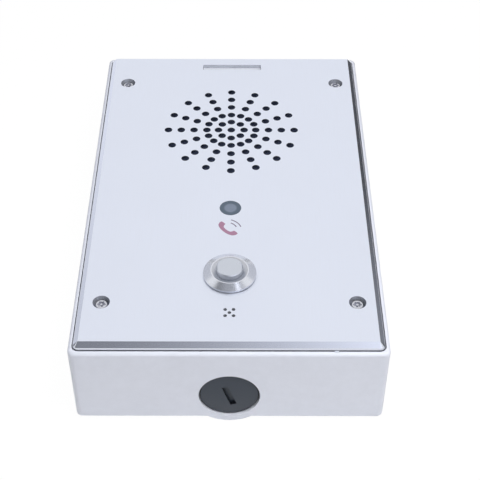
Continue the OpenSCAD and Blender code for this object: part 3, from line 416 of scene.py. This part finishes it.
led_resin = surface("led_resin", tone(236, 222, 150), 0.2, patch=0.08, coat=0.5)
sensor_face = surface("sensor_face", tone(40, 52, 60), 0.12, 0.3, patch=0.2, coat=0.6)
amber_film = surface("amber_film", tone(204, 132, 52), 0.3, 0.0, 1.0, (400, 4000, 400),
                     patch=0.12, coat=0.4)
red_wire = surface("red_wire", tone(176, 34, 34), 0.4, patch=0.1)
blue_wire = surface("blue_wire", tone(40, 72, 160), 0.4, patch=0.1)
grey_wire = surface("grey_wire", tone(140, 140, 142), 0.4, patch=0.1)
white_wire = surface("white_wire", tone(228, 228, 226), 0.4, patch=0.06)

dress(case_paint, "rear_housing")
dress(plate_material(speaker_centre, PLATE_CORNER, RIM_Z), "front_plate")
dress(bright_steel, "plate_screws", "button_spring")
dress(turned_metal("turned_bezel", BEZEL_STEEL, 0.19, button_centre, 0.16 * MM, DISH_R), "button_bezel")
dress(turned_metal("turned_cap", CAP_STEEL, 0.3, button_centre, 0.13 * MM), "button_cap")
dress(window_material(window_centre), "camera_window")
dress(plug_material(), "cable_plug")
dress(diffuser, "light_lens")
dress(black_rubber, "wall_pads", "plug_seal", "button_seal", "window_seal", "speaker_surround", "mic_boot")
dress(foam, "plate_gasket", "speaker_gasket")
dress(speaker_cloth, "speaker_mesh")
dress(mic_cloth, "mic_membrane")
dress(spider_cloth, "speaker_spider")
dress(cone_paper, "speaker_cone", "speaker_dust_cap")
dress(copper, "voice_coil")
dress(ferrite, "speaker_magnet")
dress(zinc_steel, "button_nut", "camera_screws", "speaker_frame", "speaker_top_plate", "speaker_yoke",
      "speaker_clamps", "speaker_screws", "light_screws", "board_screws")
dress(tinned_sheet, "mic_capsule", "network_jack", "processor_shield")
dress(brass, "button_terminals", "camera_standoffs")
dress(black_plastic, "button_contact_block", "lens_barrel", "lens_holder", "board_chips")
dress(sensor_face, "image_sensor")
dress(lens_coat, "lens_glass")
dress(green_board, "camera_board", "main_board")
dress(white_board, "light_board")
dress(led_resin, "light_leds")
dress(green_plastic, "terminal_blocks")
dress(blue_plastic, "lock_relay")
dress(can_sleeve, "capacitors")
dress(yellow_tape, "power_transformer")
dress(ivory_plastic, "lead_headers")
dress(red_wire, "speaker_lead")
dress(blue_wire, "button_lead")
dress(amber_film, "camera_ribbon")
dress(grey_wire, "mic_lead")
dress(white_wire, "light_lead")

# Soft parts that give with a joint: a soft piece stands for the rigid CAD node

ROLL_FOOT = 0.9 * MM
SEATED_EDGE = 1.7 * MM
SPIDER_FREE = 1.2 * MM
SPIDER_STEPS = 4
SPIDER_SIDES = 96


def soft_piece(node, mesh):
    piece = bpy.data.objects.new(node + "_soft", mesh)
    bpy.context.scene.collection.objects.link(piece)
    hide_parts(node)
    return piece


def half_width(node):
    low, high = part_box(node)
    return (high.x - low.x) / 2


def speaker_radius(point):
    return (point.xy - speaker_centre.xy).length


def follow_cone(piece, held_r, free_r):
    """The piece stays with the housing outside the held radius and follows the cone inside the free one.

    The square keeps the top of the surround's roll below the mesh when the cone is out.
    """
    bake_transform(piece, "housing", "speaker_cone", (0, 0, 0), (0, 0, 1))
    weights = piece.data.attributes["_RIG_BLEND"].data
    for vertex, weight in zip(piece.data.vertices, weights):
        share = (held_r - speaker_radius(vertex.co)) / (held_r - free_r)
        weight.value = min(1.0, max(0.0, share)) ** 2


def ring_mesh(name, radii, low_z, high_z):
    """Flat ring round the speaker's axis, with a loop of points at each radius, above and below."""
    section = [(r, high_z) for r in radii] + [(r, low_z) for r in reversed(radii)]
    count = len(section)
    points = []
    faces = []
    for side in range(SPIDER_SIDES):
        angle = math.tau * side / SPIDER_SIDES
        for r, z in section:
            x = speaker_centre.x + r * math.cos(angle)
            y = speaker_centre.y + r * math.sin(angle)
            points.append((x, y, z))
        here = side * count
        ahead = (side + 1) % SPIDER_SIDES * count
        for index in range(count):
            after = (index + 1) % count
            faces.append((here + index, here + after, ahead + after, ahead + index))
    mesh = bpy.data.meshes.new(name)
    mesh.from_pydata(points, [], faces)
    return mesh


def soft_spring():
    """The lower end stays on the contact block and the upper end follows the cap."""
    low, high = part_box("button_spring")
    piece = soft_piece("button_spring", nodes["button_spring"].data.copy())
    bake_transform(piece, "housing", "call_button", low, (low.x, low.y, high.z))


def soft_surround():
    """The outer edge stays on the frame and the inner edge follows the cone."""
    piece = soft_piece("speaker_surround", nodes["speaker_surround"].data.copy())
    held_r = half_width("speaker_surround") - SEATED_EDGE - ROLL_FOOT
    follow_cone(piece, held_r, half_width("speaker_cone") + ROLL_FOOT)


def soft_spider():
    """The ring lies on the basket's floor, and its free inner edge follows the coil."""
    low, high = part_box("speaker_spider")
    inner_r = min(speaker_radius(vertex.co) for vertex in nodes["speaker_spider"].data.vertices)
    held_r = inner_r + SPIDER_FREE
    radii = [inner_r + SPIDER_FREE * step / SPIDER_STEPS for step in range(SPIDER_STEPS + 1)]
    mesh = ring_mesh("speaker_spider_soft", radii + [half_width("speaker_spider")], low.z, high.z)
    mesh.materials.append(spider_cloth)
    follow_cone(soft_piece("speaker_spider", mesh), held_r, inner_r)


soft_spring()
soft_surround()
soft_spider()

# Call symbol: a plain handset with two sound arcs, printed on the plate

FACE_Z = PLATE_CORNER.z
PRINT_T = 0.05 * MM
SYMBOL_MIDDLE = (-1.2 * MM, -35.7 * MM)
SYMBOL_AXIS = (0.674, -0.739)
HALF_HANDSET = [(0, -1.05), (1.6, -0.9), (2.55, -0.4), (3.05, 0.6), (3.25, 1.2), (3.6, 1.4), (5.4, 1.35),
                (5.95, 1.0), (5.95, -0.1), (5.3, -1.4), (4.0, -2.25), (2.1, -2.8), (0, -2.95)]
ARC_CENTRE = (-2.4 * MM, -37.0 * MM)
ARC_STROKE = 0.5 * MM
SOUND_ARCS = ((8.05 * MM, 19, 70), (5.95 * MM, 26, 64))


def smooth_loop(corners, steps=6):
    """Closed curve through the corners."""
    out = []
    count = len(corners)
    for index in range(count):
        before, start, end, after = (Vector(corners[(index + k) % count]) for k in (-1, 0, 1, 2))
        for step in range(steps):
            t = step / steps
            out.append(0.5 * (2 * start + (end - before) * t
                              + (2 * before - 5 * start + 4 * end - after) * t * t
                              + (3 * start - before - 3 * end + after) * t ** 3))
    return out


def print_piece(name, loops, material):
    """Thin flat print on the plate, one raised island for each outline."""
    mesh = bpy.data.meshes.new(name)
    work = bmesh.new()
    for loop in loops:
        corners = [work.verts.new((x, y, FACE_Z - PRINT_T / 2)) for x, y in loop]
        face = work.faces.new(corners)
        raised = bmesh.ops.extrude_face_region(work, geom=[face])
        tops = [item for item in raised["geom"] if isinstance(item, bmesh.types.BMVert)]
        bmesh.ops.translate(work, verts=tops, vec=(0, 0, PRINT_T))
    bmesh.ops.triangulate(work, faces=work.faces[:])
    bmesh.ops.recalc_face_normals(work, faces=work.faces[:])
    work.to_mesh(mesh)
    work.free()
    piece = bpy.data.objects.new(name, mesh)
    bpy.context.scene.collection.objects.link(piece)
    mesh.materials.append(material)
    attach(piece, "housing")
    return piece


def handset_outline():
    mirrored = [(-s, w) for s, w in reversed(HALF_HANDSET[1:-1])]
    along = Vector(SYMBOL_AXIS)
    across = Vector((-SYMBOL_AXIS[1], SYMBOL_AXIS[0]))
    middle = Vector(SYMBOL_MIDDLE)
    return [middle + MM * (along * s + across * w) for s, w in smooth_loop(HALF_HANDSET + mirrored)]


def arc_outline(radius, first, last, steps=16):
    angles = [math.radians(first + (last - first) * i / steps) for i in range(steps + 1)]
    centre = Vector(ARC_CENTRE)
    outer = [centre + (radius + ARC_STROKE / 2) * Vector((math.cos(a), math.sin(a))) for a in angles]
    inner = [centre + (radius - ARC_STROKE / 2) * Vector((math.cos(a), math.sin(a))) for a in angles]
    return outer + inner[::-1]


symbol_ink = surface("symbol_ink", tone(162, 122, 146), 0.5, 0.0, 1500.0, patch=0.05)
arc_ink = surface("arc_ink", tone(112, 98, 118), 0.5, 0.0, 1500.0, patch=0.05)
print_piece("call_symbol", [handset_outline()], symbol_ink)
print_piece("call_symbol_arcs", [arc_outline(*arc) for arc in SOUND_ARCS], arc_ink)

# Floor, world and reflection cards


def white_for_looks(tree):
    """1 for camera, glossy and transmission rays, 0 for the rays that light the object."""
    path = add(tree, "ShaderNodeLightPath").outputs
    either = math_node(tree, "MAXIMUM", path["Is Camera Ray"], path["Is Glossy Ray"])
    return math_node(tree, "MAXIMUM", either, path["Is Transmission Ray"])


def flat_card(name, corners):
    """Flat stage sheet through four corners in metres."""
    mesh = bpy.data.meshes.new(name)
    mesh.from_pydata(corners, [], [(0, 1, 2, 3)])
    card = bpy.data.objects.new(name, mesh)
    bpy.context.scene.collection.objects.link(card)
    return card


FLOOR_HALF = 4.0
FLOOR_GLOW = 0.96
FLOOR_WHITE = 1.02
FLOOR_GREY = (0.8, 0.8, 0.8, 1.0)
floor = flat_card("floor", [(-FLOOR_HALF, -FLOOR_HALF, 0), (FLOOR_HALF, -FLOOR_HALF, 0),
                            (FLOOR_HALF, FLOOR_HALF, 0), (-FLOOR_HALF, FLOOR_HALF, 0)])
floor_paper = bpy.data.materials.new("floor_paper")
floor_paper.use_nodes = True
tree = floor_paper.node_tree
tree.nodes.clear()
paper = add(tree, "ShaderNodeBsdfDiffuse", {"Color": FLOOR_GREY})
glow = add(tree, "ShaderNodeEmission", {"Color": (1, 1, 1, 1), "Strength": FLOOR_WHITE})
share = math_node(tree, "MULTIPLY", white_for_looks(tree), FLOOR_GLOW)
blend = add(tree, "ShaderNodeMixShader", {0: share, 1: paper.outputs[0], 2: glow.outputs[0]})
add(tree, "ShaderNodeOutputMaterial", {"Surface": blend.outputs[0]})
floor.data.materials.append(floor_paper)

WORLD_FILL = 0.32
WORLD_TINT = (0.97, 0.98, 1.0, 1.0)
world = bpy.data.worlds.new("studio")
bpy.context.scene.world = world
world.use_nodes = True
tree = world.node_tree
background = tree.nodes["Background"]
background.inputs["Color"].default_value = WORLD_TINT
strength = math_node(tree, "MULTIPLY_ADD", white_for_looks(tree), 1.0 - WORLD_FILL)
strength.node.inputs[2].default_value = WORLD_FILL
tree.links.new(strength, background.inputs["Strength"])

CARD_TINT = (0.94, 0.97, 1.06, 1.0)


def reflection_card(name, corners, axis, first, last, curve=1.0):
    """Card that only reflections see; first and last are pairs of place along the axis and level."""
    card = flat_card(name, corners)
    card.visible_camera = False
    card.visible_diffuse = False
    card.visible_shadow = False
    card.visible_transmission = False
    material = bpy.data.materials.new(name)
    material.use_nodes = True
    tree = material.node_tree
    tree.nodes.clear()
    place = add(tree, "ShaderNodeTexCoord").outputs["Object"]
    along = add(tree, "ShaderNodeSeparateXYZ", {0: place}).outputs[axis]
    share = math_node(tree, "POWER", spread(tree, along, 0.0, 1.0, first[0], last[0]), curve)
    level = spread(tree, share, first[1], last[1], 0.0, 1.0)
    light = add(tree, "ShaderNodeEmission", {"Color": CARD_TINT, "Strength": level})
    add(tree, "ShaderNodeOutputMaterial", {"Surface": light.outputs[0]})
    card.data.materials.append(material)
    return card


def overhead_card(name, x_span, y_span, z, *grade):
    """Level card, graded along X."""
    (low_x, high_x), (low_y, high_y) = x_span, y_span
    corners = [(low_x, low_y, z), (high_x, low_y, z), (high_x, high_y, z), (low_x, high_y, z)]
    return reflection_card(name, corners, 0, *grade)


def side_card(name, x, y_span, z_span, *grade):
    """Upright card beside the object, graded along Y."""
    (low_y, high_y), (low_z, high_z) = y_span, z_span
    corners = [(x, low_y, low_z), (x, high_y, low_z), (x, high_y, high_z), (x, low_y, high_z)]
    return reflection_card(name, corners, 1, *grade)


OVERHEAD_Z = 0.85
STREAK_Z = 0.83
STREAK_LEVEL = 1.9
STREAK_SPAN = (0.21, 0.29)
NEAR_X = 0.2
FAR_X = 0.6
BEVEL_SPAN_Y = (-0.15, 0.7)
BEVEL_SPAN_Z = (0.0, 0.05)
LIP_LEVEL = 0.12
FAR_LEVEL = 0.67
FAR_SPAN_Y = (0.25, 1.3)

overhead_card("front_card", (-2.6, 1.2), (-1.4, -0.6), OVERHEAD_Z, (-0.26, 0.29), (0.26, 1.28), 1.75)
overhead_card("button_card", (-0.9, 0.9), (-0.4, -0.06), OVERHEAD_Z, (-0.5, 0.15), (-0.1, 0.45))
overhead_card("streak_card", STREAK_SPAN, (-0.5, 0.0), STREAK_Z,
              (STREAK_SPAN[0], STREAK_LEVEL), (STREAK_SPAN[1], STREAK_LEVEL))
side_card("right_bevel_card", NEAR_X, BEVEL_SPAN_Y, BEVEL_SPAN_Z, (0.03, 0.27), (0.16, 0.1))
side_card("left_bevel_card", -NEAR_X, BEVEL_SPAN_Y, BEVEL_SPAN_Z, (0.03, 0.8), (0.2, 1.0))
for side, word in ((1, "right"), (-1, "left")):
    side_card(word + "_lip_card", side * NEAR_X, (-0.1, 0.7), (0.05, 0.085),
              (0.0, LIP_LEVEL), (0.3, LIP_LEVEL))
    side_card(word + "_far_card", side * FAR_X, FAR_SPAN_Y, (0.12, 0.7),
              (FAR_SPAN_Y[0], FAR_LEVEL), (FAR_SPAN_Y[1], FAR_LEVEL))


def area_lamp(name, place, target, size, power):
    lamp = bpy.data.lights.new(name, "AREA")
    lamp.shape = "SQUARE"
    lamp.size = size
    lamp.energy = power
    holder = bpy.data.objects.new(name, lamp)
    holder.location = place
    holder.rotation_euler = (Vector(target) - Vector(place)).to_track_quat("-Z", "Y").to_euler()
    bpy.context.scene.collection.objects.link(holder)
    holder.visible_glossy = False
    return holder


KEY_PLACE = (0.16, -0.27, 0.65)
KEY_TARGET = (0, 0, 0.05)
KEY_SIZE = 0.3
KEY_POWER = 3.85
area_lamp("key_lamp", KEY_PLACE, KEY_TARGET, KEY_SIZE, KEY_POWER)

# Camera

CAMERA_PLACE = (0.004775, -0.437494, 0.428400)
CAMERA_RIGHT = Vector((0.99999858, 0.00111597, 0.0012605))
CAMERA_UP = Vector((-0.0016822, 0.69200148, 0.72189412))
CAMERA_LENS = 84.207
SENSOR_WIDTH = 36.0
camera_data = bpy.data.cameras.new("camera")
camera_data.sensor_width = SENSOR_WIDTH
camera_data.lens = CAMERA_LENS
camera = bpy.data.objects.new("camera", camera_data)
camera_back = CAMERA_RIGHT.cross(CAMERA_UP)
turn = Matrix((CAMERA_RIGHT, CAMERA_UP, camera_back)).transposed()
camera.matrix_world = Matrix.Translation(CAMERA_PLACE) @ turn.to_4x4()
bpy.context.scene.collection.objects.link(camera)
bpy.context.scene.camera = camera
bpy.context.scene.view_settings.view_transform = "Standard"
